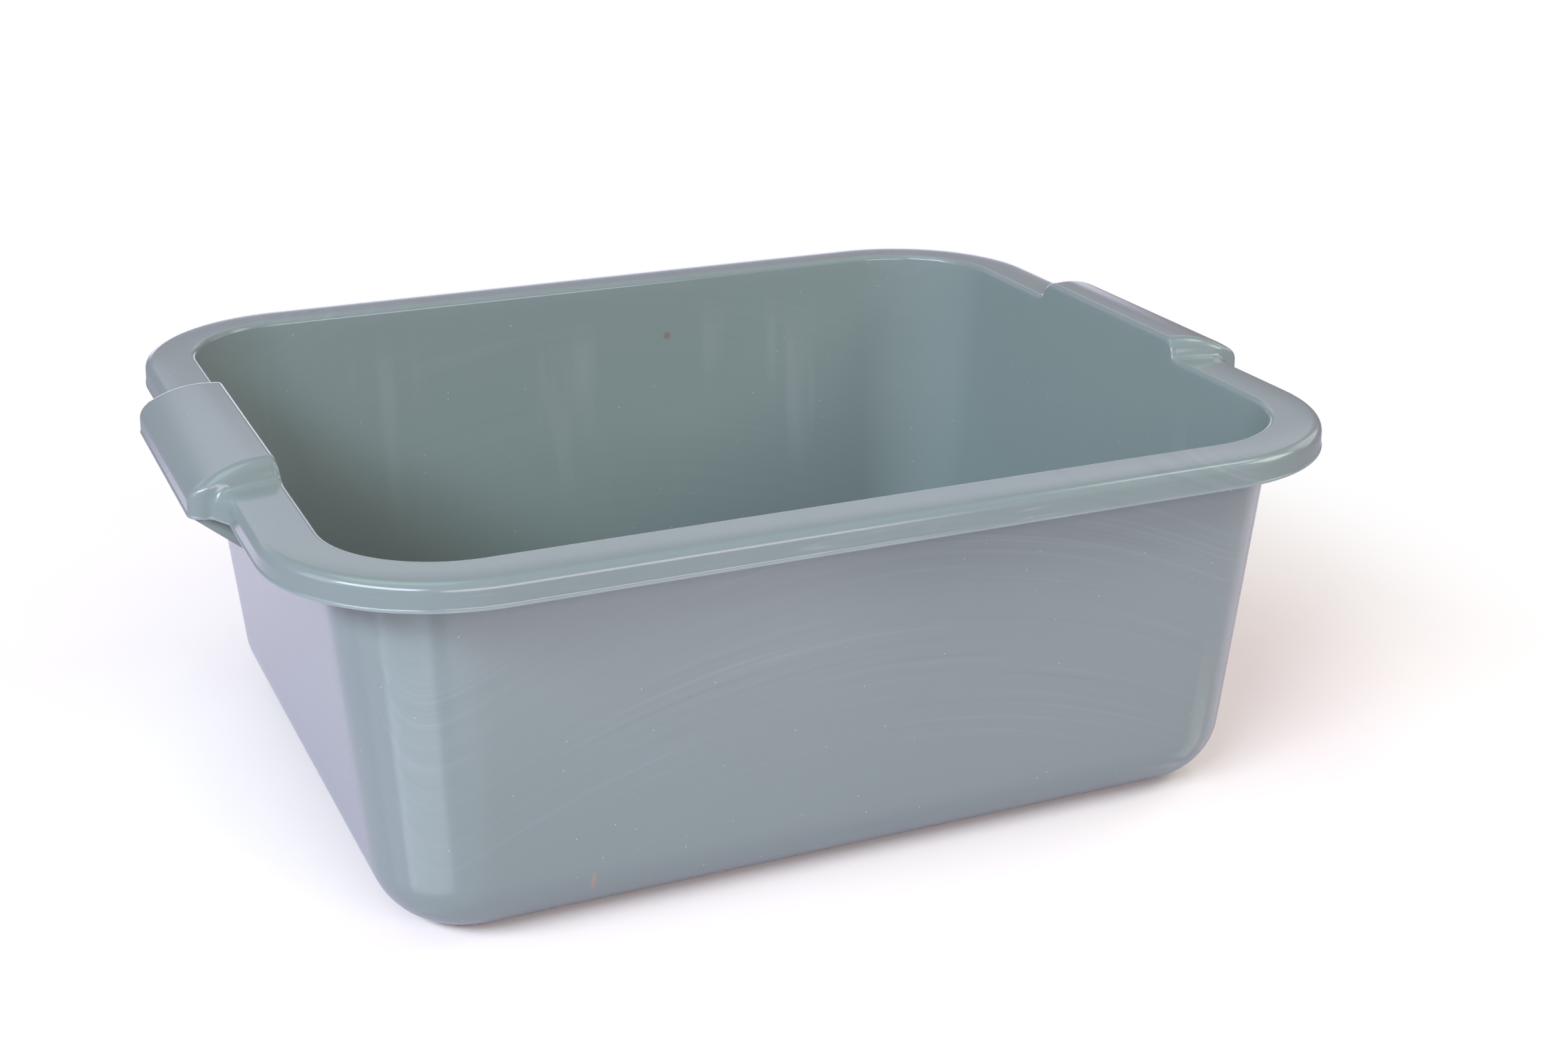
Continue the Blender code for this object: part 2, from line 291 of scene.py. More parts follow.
# %% The section across rim and handle
class Section:
    """All columns' sections across the rim at once, on the upper side or one wall lower."""

    def __init__(self, inset):
        self.inset = inset
        self.inner = tub_ring(RIM_TOP, WALL - inset)
        self.outer = ring(RIM_END - inset, RIM_SIDE - inset, RIM_CORNER - inset,
                          lambda y: handle_reach(y, inset))
        across = self.outer - self.inner
        self.breadth = np.linalg.norm(across, axis=1)
        self.along = across / self.breadth[:, None]
        self.on_short_side = np.abs(self.inner[:, 1]) <= BEND_END
        reached = handle_reach(self.inner[:, 1], inset) / HANDLE_REACH
        edge_share = np.where(self.on_short_side, reached, 0)
        # The last part is whole where the outline is half way in, and nothing at both ends.
        round_off = (CREASE_ROUND + (DOME_ROUND - CREASE_ROUND) * edge_share
                     + 4 * (END_ROUND - DOME_ROUND) * edge_share * (1 - edge_share))
        self.edge = np.maximum(round_off - inset, LEAST_ROUND)

    def point(self, distance, height):
        """Points at a distance out from the tub's face and a height, one for each column."""
        out = np.broadcast_to(distance, len(self.inner))[:, None]
        return level(self.inner + self.along * out, height)

    def height(self, distance):
        """The rim's and the dome's heights, mixed by the handle's share. The rim falls with a
        power of the way across it."""
        x = self.inner[:, 0] + self.along[:, 0] * distance
        across = np.minimum(distance / RIM_BREADTH, 1)
        rim = RIM_TOP - RIM_FALL * across**RIM_ROLL - self.inset
        share = np.where(self.on_short_side, handle_share(self.inner[:, 1], across, self.inset), 0)
        return rim + (dome_height(x, self.inset) - rim) * share

    def top(self, start, end, steps):
        """Rows between two distances, closer together towards both ends."""
        shares = (1 - np.cos(np.linspace(0, math.pi, steps + 1))) / 2
        return [self.point(start + (end - start) * s, self.height(start + (end - start) * s))
                for s in shares[1:-1]]

    def crease(self, steps):
        """The round from the top's slope down to upright: sine outwards, cosine upwards. The outer
        skirt alone has a draft, so its upper edge stands back."""
        centre = self.breadth - SKIRT_DRAFT * (self.inset == 0) - self.edge
        slope = np.arctan((self.height(centre) - self.height(centre + self.edge)) / self.edge)
        low = self.height(centre + self.edge) - self.edge * np.tan((math.pi / 2 - slope) / 2)
        turns = [slope + (math.pi / 2 - slope) * k / steps for k in range(steps + 1)]
        return centre + self.edge * np.sin(slope), [
            self.point(centre + self.edge * np.sin(t), low + self.edge * np.cos(t)) for t in turns]


print("rim's breadth at the skirt, mm:", round(1000 * Section(0.0).breadth.min(), 1), "to",
      round(1000 * Section(0.0).breadth.max(), 1))

# %% [markdown]
# ## From the mouth to the skirt's foot and back
# The upper side runs over the lip, the top, the crease and the skirt to a small bead, which is
# the flash that the mould's joint leaves. The underside comes back one wall lower. Rounds get
# rows at equal angles, because a highlight shows every uneven step.

# %% Rows of rim and skirt
LIP_STEPS, TOP_STEPS, CREASE_STEPS, SKIRT_STEPS, FOOT_STEPS = 8, 16, 14, 5, 4
UNDER_TOP_STEPS, UNDER_SKIRT_STEPS = 8, 2       # the underside is hardly seen, so it has fewer


def upper_rows():
    """Lip, top, crease, the skirt's outer face and its flash bead, from the mouth outwards."""
    section = Section(0.0)
    lip_top = section.height(LIP_ROUND)
    centre = LIP_ROUND + (lip_top - RIM_TOP) * math.tan(DRAFT)
    rows = [section.point(centre - LIP_ROUND * math.cos(t), lip_top - LIP_ROUND * (1 - math.sin(t)))
            for t in np.linspace(DRAFT, math.pi / 2, LIP_STEPS + 1)]
    top_end, crease = section.crease(CREASE_STEPS)
    rows += section.top(centre, top_end, TOP_STEPS) + crease
    upper_edge, foot_centre = crease[-1], SKIRT_FOOT + FOOT_ROUND
    lower_edge = section.point(section.breadth - FLASH_PROUD, SKIRT_FOOT + FLASH_HEIGHT)
    rows += [upper_edge + (lower_edge - upper_edge) * k / SKIRT_STEPS for k in range(1, SKIRT_STEPS)]
    quarter = np.linspace(0, math.pi / 2, FOOT_STEPS + 1)
    rows += [section.point(section.breadth - FLASH_PROUD * (1 - math.sin(t)),
                           foot_centre + (FLASH_HEIGHT - FOOT_ROUND) * math.cos(t))
             for t in quarter[:-1]]
    rows += [section.point(section.breadth - FOOT_ROUND * (1 - math.cos(t)),
                           foot_centre - FOOT_ROUND * math.sin(t)) for t in quarter]
    return rows


def under_rows():
    """The skirt's inner face and the rim's underside, from the skirt's foot in to the tub."""
    section = Section(WALL)
    top_end, crease = section.crease(CREASE_STEPS)
    corner_height = section.height(0.0)
    corner = (corner_height - RIM_TOP) * math.tan(DRAFT)
    foot_centre = SKIRT_FOOT + FOOT_ROUND
    rows = [section.point(corner, corner_height)]
    rows += section.top(corner, top_end, UNDER_TOP_STEPS) + crease
    lower_edge = section.point(section.breadth, foot_centre)
    rows += [crease[-1] + (lower_edge - crease[-1]) * k / UNDER_SKIRT_STEPS
             for k in range(1, UNDER_SKIRT_STEPS + 1)]
    rows += [section.point(section.breadth + FOOT_ROUND * (1 - math.cos(t)),
                           foot_centre - FOOT_ROUND * math.sin(t))
             for t in np.linspace(0, math.pi / 2, FOOT_STEPS + 1)[1:]]
    return rows[::-1]


upper, under = upper_rows(), under_rows()
print("rows on the upper side and the underside:", len(upper), len(under))

# %% [markdown]
# ## The tub
# The tub's inner and outer faces are offsets of the same tapered form. A fillet joins each
# wall to the floor: the ring at the fillet's upper tangent is drawn in and lowered along a
# quarter circle, less the wall's own draft.

# %% Rows of the tub
FILLET_STEPS, WALL_ROWS = 16, 22
FLOOR_SHARES = (0.25, 0.5, 0.75, 0.9)


def fillet_rows(inset):
    """From the floor's edge up to the wall: inset plus radius times cosine in plan, and radius
    times one less the sine in height."""
    radius = BASE_FILLET - inset
    tangent = inset + radius * (1 - math.sin(DRAFT))
    return [level(tub_ring(tangent, inset + radius * (math.cos(DRAFT) - math.cos(t))),
                  inset + radius * (1 - math.sin(t)))
            for t in np.linspace(math.pi / 2, DRAFT, FILLET_STEPS + 1)]


def wall_rows(low, high):
    """Rows between two rings of a wall, which is straight from floor to rim."""
    return [low + (high - low) * k / WALL_ROWS for k in range(1, WALL_ROWS)]


def floor_rows(edge):
    """Rows from near the middle of a floor out to its edge: the edge ring, scaled in plan."""
    return [edge * np.array([share, share, 1]) for share in FLOOR_SHARES]


inner_fillet, outer_fillet = fillet_rows(WALL), fillet_rows(0.0)
rows = floor_rows(inner_fillet[0]) + inner_fillet + wall_rows(inner_fillet[-1], upper[0]) + upper
rows += under[1:] + wall_rows(under[-1], outer_fillet[-1]) + outer_fillet[::-1]
rows += floor_rows(outer_fillet[0])[::-1]
grid = np.array(rows)
print("rows over the section:", len(grid), "points:", grid.shape[0] * grid.shape[1])

# %% [markdown]
# ## From grid to mesh
# Neighbouring points of the grid make the quads, the first column follows the last so that
# the seam closes, and one point in the middle of each floor closes the poles.


# %% The mesh builder
def mesh_from(points, faces, name):
    """A mesh object from an array of points and lists of equal-sized faces."""
    mesh = bpy.data.meshes.new(name)
    mesh.vertices.add(len(points))
    mesh.vertices.foreach_set("co", points.astype(np.float32).ravel())
    corners = np.concatenate([block.ravel() for block in faces])
    sizes = np.concatenate([np.full(len(block), block.shape[1]) for block in faces])
    mesh.loops.add(len(corners))
    mesh.loops.foreach_set("vertex_index", corners)
    mesh.polygons.add(len(sizes))
    mesh.polygons.foreach_set("loop_start", np.concatenate([[0], np.cumsum(sizes)[:-1]]))
    mesh.polygons.foreach_set("loop_total", sizes)
    mesh.update(calc_edges=True)
    mesh.validate()
    mesh.shade_smooth()
    piece = bpy.data.objects.new(name, mesh)
    bpy.context.scene.collection.objects.link(piece)
    return piece


def closed_grid(grid):
    """Points and faces of a grid closed round its columns, with a pole at each end of its rows."""
    count_rows, count = grid.shape[:2]
    here = np.arange(count_rows * count).reshape(count_rows, count)
    beside = np.roll(here, -1, axis=1)
    quads = np.stack([here[:-1], beside[:-1], beside[1:], here[1:]], axis=-1).reshape(-1, 4)
    poles = [row.mean(axis=0) for row in (grid[0], grid[-1])]
    first, last = count_rows * count, count_rows * count + 1
    start = np.stack([np.full(count, first), beside[0], here[0]], axis=1)
    end = np.stack([np.full(count, last), here[-1], beside[-1]], axis=1)
    return np.concatenate([grid.reshape(-1, 3), poles]), [quads, start, end]


points, faces = closed_grid(grid)
basin = mesh_from(points, faces, "basin_shell")
print("faces:", len(basin.data.polygons))

# %% [markdown]
# ## How the plastic flowed
# The plastic entered the mould under the floor and rose fastest up the middle of each wall, so
# its flow marks are arches: highest at mid-wall, low just round the corner, with a small second
# crest inside the corner. The arch is taken off the height of every point, which gives a
# coordinate that is constant along a flow line. The shader reads it with two masks: one for the
# inside of the tub, one for the skirt.

# %% Flow height and masks
FLOW_ARCH = 0.047               # a flow line's fall from mid-wall to corner
CORNER_CREST = 0.028            # its second crest, in the corner
CREST_TURN, CREST_SPREAD = 0.28, 0.24   # where that crest lies in the corner's turn, and its width

middle_ring = tub_ring(RIM_TOP / 2, 0)[:QUARTER]
steps = np.linalg.norm(np.diff(middle_ring, axis=0), axis=1)
along = np.concatenate([[0], np.cumsum(steps)])
corner_start, corner_end = along[LONG_COLUMNS], along[LONG_COLUMNS + CORNER_COLUMNS - 1]
corner_middle = (corner_start + corner_end) / 2
from_middle = np.where(along < corner_middle, along / corner_middle,
                       (along[-1] - along) / (along[-1] - corner_middle))
turn = (corner_end - along) / (corner_end - corner_start)
crest = CORNER_CREST * np.exp(-(((turn - CREST_TURN) / CREST_SPREAD) ** 2))
arch = FLOW_ARCH * (1 - from_middle**2) + crest
flow_height = grid[..., 2] - arch[LOOP]
row = np.arange(len(grid))
lip_row = len(FLOOR_SHARES) + len(inner_fillet) + WALL_ROWS - 1     # where the lip starts
skirt_row = lip_row + LIP_STEPS + TOP_STEPS + CREASE_STEPS          # the skirt's upper edge
inside = np.broadcast_to((row <= lip_row)[:, None], flow_height.shape)
on_skirt = (row >= skirt_row) & (row < skirt_row + SKIRT_STEPS - 1 + 2 * FOOT_STEPS)
place = np.stack([flow_height, inside, np.broadcast_to(on_skirt[:, None], inside.shape)], axis=-1)
place = np.concatenate([place.reshape(-1, 3), [place[0].mean(axis=0), place[-1].mean(axis=0)]])
basin.data.attributes.new("place", "FLOAT_VECTOR", "POINT").data.foreach_set(
    "vector", place.astype(np.float32).ravel())
print("skirt rows lie at heights, mm:", np.round(1000 * grid[on_skirt, 0, 2], 1))

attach(basin, "root")
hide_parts("basin_moulding")

# %% [markdown]
# ## Webs under the handles
# Each handle is hollow below, and a thin web closes the hollow at both of its ends. A web is a
# flat plate: at each station from the tub out to the skirt, its section runs down one face,
# round the lower edge and up the other face. Its other three edges are buried in the shell.


# %% Webs
WEB_STATIONS, WEB_ROUND_STEPS = 12, 5


def wall_middle(height):
    """Half the tub's length to the middle of its wall's thickness, at a height."""
    return BASE_LENGTH / 2 + (MOUTH_X + WALL - BASE_LENGTH / 2) * height / RIM_TOP - WALL / 2


def web_grid():
    """One web in the quarter where x and y are positive: lower points on a straight line that
    bends down to the tub, upper points half a wall below the end's slope, and a quarter circle
    along each face's lower edge."""
    foot = RIM_TOP - WEB_DROP
    tub_low, tub_high = wall_middle(foot), wall_middle(RIM_TOP)
    skirt_middle = RIM_END + handle_reach(HANDLE_LENGTH / 2 - WEB_SETBACK) - WALL / 2
    face_middle = HANDLE_FACE - WALL / 2
    reached = (skirt_middle - tub_low) / (face_middle - tub_low)
    share = np.linspace(0, reached, WEB_STATIONS)[:, None]
    low_x = tub_low + (face_middle - tub_low) * share
    bent = WEB_FILLET * np.clip(1 - share / WEB_FILLET_SHARE, 0, 1) ** 2
    low_z = foot + (SKIRT_FOOT + WEB_RELIEF - foot) * share - bent
    high_x = tub_high + (HANDLE_FACE - DOME_ROUND - tub_high) * share
    spread = np.clip((high_x - MOUTH_X) / RIM_BREADTH, 0, 1)
    high_share = handle_share(HANDLE_LENGTH / 2 - WEB_SETBACK, spread)
    high_z = RIM_TOP + (dome_height(high_x, 0) - RIM_TOP) * high_share - WALL / 2
    turn = np.linspace(0, math.pi / 2, WEB_ROUND_STEPS)
    inset = np.concatenate([[0], WEB_ROUND * (1 - np.cos(turn))])
    rise = np.concatenate([[1], 0 * turn])
    lift = np.concatenate([[0], WEB_ROUND * (1 - np.sin(turn))])
    face_y = HANDLE_LENGTH / 2 - WEB_SETBACK - inset
    back_y = HANDLE_LENGTH / 2 - WEB_SETBACK - WEB_THICKNESS + inset
    x = low_x + (high_x - low_x) * rise
    z = low_z + lift + (high_z - low_z) * rise
    y = np.broadcast_to(back_y, x.shape), np.broadcast_to(face_y[::-1], x.shape)
    return np.stack([np.hstack([x, x[:, ::-1]]), np.hstack(y), np.hstack([z, z[:, ::-1]])], axis=-1)


def mirrored_copies(grid):
    """The grid in all four quarters, with its columns turned round wherever it is mirrored once."""
    return [closed_grid(grid[:, ::sign_x * sign_y] * np.array([sign_x, sign_y, 1]))
            for sign_x in (1, -1) for sign_y in (1, -1)]


def joined(pieces):
    """Several pieces' points and faces as one, with each piece's numbers moved up."""
    starts = np.cumsum([0] + [len(points) for points, _ in pieces])
    faces = [block + start for (_, blocks), start in zip(pieces, starts) for block in blocks]
    return np.concatenate([points for points, _ in pieces]), faces


webs = mesh_from(*joined(mirrored_copies(web_grid())), "handle_webs")
print("web points:", len(webs.data.vertices))
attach(webs, "root")
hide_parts("basin_moulding")

# %% [markdown]
# ## Camera
# A normal lens looks at the basin from the left front and a little above. The picture is the
# middle of a larger view, so the camera is set by its direction and distance, and then moved
# sideways, with no turn, until the basin lies where it should in the frame.

# %% Camera
LENS, SENSOR = 0.05209, 0.036
CAMERA_AZIMUTH, CAMERA_ELEVATION = math.radians(-23.883), math.radians(20.800)
CAMERA_ROLL = math.radians(0.067)
CAMERA_DISTANCE = 0.8686
CAMERA_AIM = Vector((0, 0, 0.06626))
CAMERA_RIGHT, CAMERA_UP = 0.02762, 0.01489

back = Vector((math.sin(CAMERA_AZIMUTH) * math.cos(CAMERA_ELEVATION),
               -math.cos(CAMERA_AZIMUTH) * math.cos(CAMERA_ELEVATION), math.sin(CAMERA_ELEVATION)))
level_right = Vector((math.cos(CAMERA_AZIMUTH), math.sin(CAMERA_AZIMUTH), 0))
level_up = back.cross(level_right)
right = level_right * math.cos(CAMERA_ROLL) + level_up * math.sin(CAMERA_ROLL)
up = level_up * math.cos(CAMERA_ROLL) - level_right * math.sin(CAMERA_ROLL)
camera_data = bpy.data.cameras.new("camera")
camera_data.sensor_width = 1000 * SENSOR
camera_data.lens = 1000 * LENS
camera = bpy.data.objects.new("camera", camera_data)
bpy.context.scene.collection.objects.link(camera)
eye = CAMERA_AIM + back * CAMERA_DISTANCE + right * CAMERA_RIGHT + up * CAMERA_UP
camera.matrix_world = Matrix((right, up, back)).transposed().to_4x4()
camera.location = eye
bpy.context.scene.camera = camera
print("camera at", [round(v, 3) for v in eye])

# %% [markdown]
# ## Writing shaders as sums
# Cycles materials are graphs of nodes. A Math node for each step is tedious to write and hard
# to read, so one small class stands for a number that varies over a surface, and arithmetic on
# it adds the Math nodes. Every other node comes from one method, node().


# %% Shader writer
class Value:
    """A socket that carries a number: sums and products with it add Math nodes."""

    def __init__(self, graph, socket):
        self.graph, self.socket = graph, socket

    def math(self, operation, *others):
        """A Math node of this value and up to two others."""
        inputs = dict(enumerate((self, *others)))
        return self.graph.node("ShaderNodeMath", {"operation": operation}, inputs)

    def __add__(self, other):
        return self.math("ADD", other)

    def __sub__(self, other):
        return self.math("SUBTRACT", other)

    def __rsub__(self, other):
        return self.graph.node("ShaderNodeMath", {"operation": "SUBTRACT"}, {0: other, 1: self})

    def __mul__(self, other):
        return self.math("MULTIPLY", other)

    __radd__, __rmul__ = __add__, __mul__


class Graph:
    """The nodes of one material or world."""

    def __init__(self, owner):
        owner.use_nodes = True
        self.tree = owner.node_tree
        self.tree.nodes.clear()

    def node(self, kind, settings=None, inputs=None, output=0):
        """Adds a node: settings first, then each input, a plain value or a link. One output is
        returned as a Value, unless output is None."""
        made = self.tree.nodes.new(kind)
        for name, value in (settings or {}).items():
            setattr(made, name, value)
        for name, value in (inputs or {}).items():
            if isinstance(value, Value):
                self.tree.links.new(value.socket, made.inputs[name])
            else:
                made.inputs[name].default_value = value
        return None if output is None else Value(self, made.outputs[output])

    def end(self, kind, shader):
        """The output node that a finished shader runs into."""
        self.node(kind, inputs={"Surface": shader}, output=None)

    def noise(self, vector, detail, scale=1):
        """Smooth noise from 0 to 1 about a middle of one half, with a number of finer layers."""
        return self.node("ShaderNodeTexNoise", inputs={
            "Vector": vector, "Scale": scale, "Detail": detail})

    def vector(self, operation, *vectors, output="Vector"):
        """A Vector Math node of one or two vectors."""
        return self.node("ShaderNodeVectorMath", {"operation": operation},
                         dict(enumerate(vectors)), output)

    def mix(self, factor, first, second):
        """A colour between two, by a factor from 0 to 1."""
        return self.node("ShaderNodeMix", {"data_type": "RGBA"}, {0: factor, 6: first, 7: second}, 2)

    def step(self, value, low, high):
        """A smooth step from 0 at low to 1 at high, which falls where low is the larger one."""
        return self.node("ShaderNodeMapRange", {"interpolation_type": "SMOOTHSTEP"},
                         {"Value": value, "From Min": low, "From Max": high})


# %% [markdown]
# ## What the mould leaves on the plastic
# Three things come from moulding. Flow lines cover the walls as bundles of fine arches, some
# paler and one or two darker than the rest. Dragging the tub off the core leaves soft whitish
# streaks up its inner walls. Ejector pins leave a faint ring on the rim at each handle's ends.
# Noise stretched along the flow coordinate, or along the height, gives the first two.


# %% Coordinates and moulding marks
FLOW_RUN, FLOW_CROSS = 9, 420   # how fast the flow noise changes along and across a line, per metre
BUNDLE_CROSS = 45               # and the same for the bundles
FLOW_DETAIL, BUNDLE_DETAIL = 3, 1
PALE_LINES = (0.0870, 0.0845, 0.0765)   # flow heights of single lines, in metres
DARK_LINES = (0.0605, 0.0815)
LINE_HALF = 0.0007              # half the width of a single line
FLOW_FLOOR = (0.015, 0.050)     # the marks fade in between these heights
FLOW_SIDE = (0.167, 0.152)      # and fade out round the corner, at these lengths from the middle
BUNDLE_GATHERS = (0.42, 0.66)   # the bundle noise where lines gather
BUNDLE_BREAKS = (0.30, 0.60)    # and where it breaks up the single lines
LOOSE_LINES = 0.35              # how strong the lines are between bundles
PALE_NOISE, DARK_NOISE = (0.52, 0.80), (0.48, 0.20)
SINGLE_LINE = 0.8               # how strong a single line is
STREAK_DRAWN = (70, 70, 4)      # streak noise per metre, sideways and upwards
STREAK_NOISE, STREAK_DETAIL = (0.52, 0.72), 2
PATCH_SIZE, PATCH_DETAIL = 9, 1         # the slow noise that lets streaks show
STREAK_PATCHES = (0.45, 0.60)
STREAK_LOW, STREAK_HIGH = (0.03, 0.07), (0.135, 0.105)      # heights between which they lie
RING_PLACE = (0.1835, 0.088, 0.1402)    # a ring's middle, in the quarter of positive x and y
RING_RADIUS, RING_HALF = 0.0030, 0.0006


def coordinates(graph):
    """The point, its three coordinates, and the flow height and masks that the mesh carries."""
    at = {"point": graph.node("ShaderNodeTexCoord", output="Object")}
    place = graph.node("ShaderNodeAttribute", {"attribute_name": "place"}, output="Vector")
    for vector, names in ((at["point"], ("x", "y", "z")), (place, ("flow", "inside", "skirt"))):
        for socket, name in enumerate(names):
            at[name] = graph.node("ShaderNodeSeparateXYZ", inputs={0: vector}, output=socket)
    return at


def line(graph, value, centre, half):
    """1 on a line where the value meets the centre, smoothly 0 at half its width away."""
    return 1 - graph.step((value - centre).math("ABSOLUTE"), 0, half)


def flow_marks(graph, at):
    """How pale and how dark the flow lines are: noise along the arches, gathered in bundles by
    a broader noise, and a few single lines."""
    def along_flow(across, detail):
        spread = graph.node("ShaderNodeCombineXYZ", inputs={
            0: at["x"] * FLOW_RUN, 1: at["y"] * FLOW_RUN, 2: at["flow"] * across})
        return graph.noise(spread, detail)

    fine, bundle = along_flow(FLOW_CROSS, FLOW_DETAIL), along_flow(BUNDLE_CROSS, BUNDLE_DETAIL)
    height = graph.step(at["z"], *FLOW_FLOOR) * graph.step(at["x"].math("ABSOLUTE"), *FLOW_SIDE)
    strength = (LOOSE_LINES + graph.step(bundle, *BUNDLE_GATHERS)) * height
    pale = sum(line(graph, at["flow"], centre, LINE_HALF) for centre in PALE_LINES)
    dark = sum(line(graph, at["flow"], centre, LINE_HALF) for centre in DARK_LINES)
    broken = graph.step(bundle, *BUNDLE_BREAKS) * height * SINGLE_LINE
    return (graph.step(fine, *PALE_NOISE) * strength + pale * broken,
            graph.step(fine, *DARK_NOISE) * strength + dark * broken)


def drag_streaks(graph, at):
    """Whitish streaks up the inner walls: noise drawn out upwards, where a slow noise allows."""
    drawn = graph.vector("MULTIPLY", at["point"], STREAK_DRAWN)
    patch = graph.step(graph.noise(at["point"], PATCH_DETAIL, PATCH_SIZE), *STREAK_PATCHES)
    middle = graph.step(at["z"], *STREAK_LOW) * graph.step(at["z"], *STREAK_HIGH)
    streak = graph.step(graph.noise(drawn, STREAK_DETAIL), *STREAK_NOISE)
    return streak * patch * middle * at["inside"]


def ejector_rings(graph, at):
    """A thin circle at each handle's ends: a line at one distance from its middle, with all four
    quarters folded into one."""
    folded = graph.vector("ABSOLUTE", at["point"])
    distance = graph.vector("DISTANCE", folded, RING_PLACE, output="Value")
    return line(graph, distance, RING_RADIUS, RING_HALF)


print("flow lines repeat about every", round(1000 / FLOW_CROSS, 1), "mm, ejector rings are",
      round(2000 * RING_RADIUS, 1), "mm across")

# %% [markdown]
# ## What use leaves on the plastic
# Pale specks of grit sit all over, more of them low on the walls. The skirt has short scuffs
# along it, and its flash bead is paler. One brown stain is left on the far inner wall,
# and one tan drip low on the front.

# %% Marks of use
SPECK_CELLS = 240               # cells of the speck pattern per metre
SPECK_RADIUS = 0.075            # in cells
CORE_PART = 3                   # a speck or a spot is solid within its radius over this
SPECK_CHANCE = 0.60             # a cell's random number above which it keeps its speck
SPECK_RISE = 2.2                # and how much that grows per metre of height
RUSTY = 0.9                     # a second random number above which the speck is rusty
SCUFF_DRAWN = (60, 60, 800)     # scuff noise per metre, sideways and upwards
SCUFF_NOISE, SCUFF_DETAIL = (0.55, 0.75), 3
SCUFF_PATCH, SCUFF_PATCH_DETAIL = 40, 2     # the coarser noise that breaks them up
SCUFF_PATCHES = (0.50, 0.70)
STAIN_PLACE, STAIN_RADIUS = (0.0357, 0.138, 0.1158), 0.0022
DRIP_PLACE, DRIP_RADIUS = (-0.0948, -0.1290, 0.0165), 0.0013
DRIP_DRAWN = (1, 0.25, 0.2)     # the drip is a round spot drawn out downwards


def specks(graph, at):
    """Balls round the points of a cell pattern, kept in a random share of the cells that falls
    with height. The second mask picks the few rusty ones."""
    cells = {"Vector": at["point"], "Scale": SPECK_CELLS}
    distance = graph.node("ShaderNodeTexVoronoi", inputs=cells)
    ball = graph.step(distance, SPECK_RADIUS, SPECK_RADIUS / CORE_PART)
    colour = graph.node("ShaderNodeTexVoronoi", inputs=cells, output="Color")
    chance, kind = (graph.node("ShaderNodeSeparateXYZ", inputs={0: colour}, output=k) for k in (0, 1))
    kept = (chance - at["z"] * SPECK_RISE).math("GREATER_THAN", SPECK_CHANCE)
    return ball * kept, ball * kept * kind.math("GREATER_THAN", RUSTY)


def scuffs(graph, at):
    """Short scuffs along the skirt: noise drawn out sideways, broken up by a coarser one."""
    drawn = graph.vector("MULTIPLY", at["point"], SCUFF_DRAWN)
    patch = graph.step(graph.noise(at["point"], SCUFF_PATCH_DETAIL, SCUFF_PATCH), *SCUFF_PATCHES)
    return graph.step(graph.noise(drawn, SCUFF_DETAIL), *SCUFF_NOISE) * patch * at["skirt"]


def spot(graph, point, centre, radius):
    """1 at a centre, smoothly 0 a radius away."""
    distance = graph.vector("DISTANCE", point, centre, output="Value")
    return graph.step(distance, radius, radius / CORE_PART)


print("specks are about", round(2000 * SPECK_RADIUS / SPECK_CELLS, 1), "mm across")

# %% [markdown]
# ## The plastic
# Polypropylene from a polished mould is glossy but not sharp, so one Principled shader does for
# all of it. Most marks shift its colour by a few hundredths only, make it duller where it is
# scuffed, and add a bump of up to a few hundredths of a millimetre. All are mixed over a
# faintly clouded base, one after another, so each can be made stronger or weaker by itself.

# %% Plastic
PLASTIC = (0.208, 0.268, 0.246, 1)
PLASTIC_CLOUD = (0.196, 0.258, 0.238, 1)
PALE = (0.42, 0.47, 0.47, 1)
DARK = (0.10, 0.13, 0.14, 1)
GRIT = (0.70, 0.70, 0.66, 1)
RUST = (0.50, 0.27, 0.16, 1)
STAIN = (0.22, 0.12, 0.07, 1)
PLASTIC_IOR = 1.5
GLOSS = 0.14                    # roughness of the clean plastic
CLOUD_SIZE, PEEL_SIZE = 11, 60  # noise per metre for the base's clouds and for its faint waviness
CLOUD_DETAIL, PEEL_DETAIL = 3, 1
INSIDE_CALM = 0.6               # share of the flow lines that the inner walls don't show
PALE_FLOW_SHOWS, DARK_FLOW_SHOWS, STREAKS_SHOW, SCUFFS_SHOW = 0.09, 0.11, 0.12, 0.30
FLASH_SHOWS, RINGS_SHOW = 0.25, 0.05
GRIT_SHOWS, RUST_SHOWS, STAIN_SHOWS, DRIP_SHOWS = 0.5, 0.7, 0.6, 0.3
CLOUD_DULLS, SCUFFS_DULL, STREAKS_DULL, GRIT_DULLS = 0.03, 0.20, 0.06, 0.30
BUMP_UNIT = 0.001               # the heights below are in millimetres
PEEL_HIGH, SCUFFS_HIGH, GRIT_HIGH, RINGS_HIGH, STREAKS_HIGH = 0.004, 0.03, 0.03, 0.008, 0.004


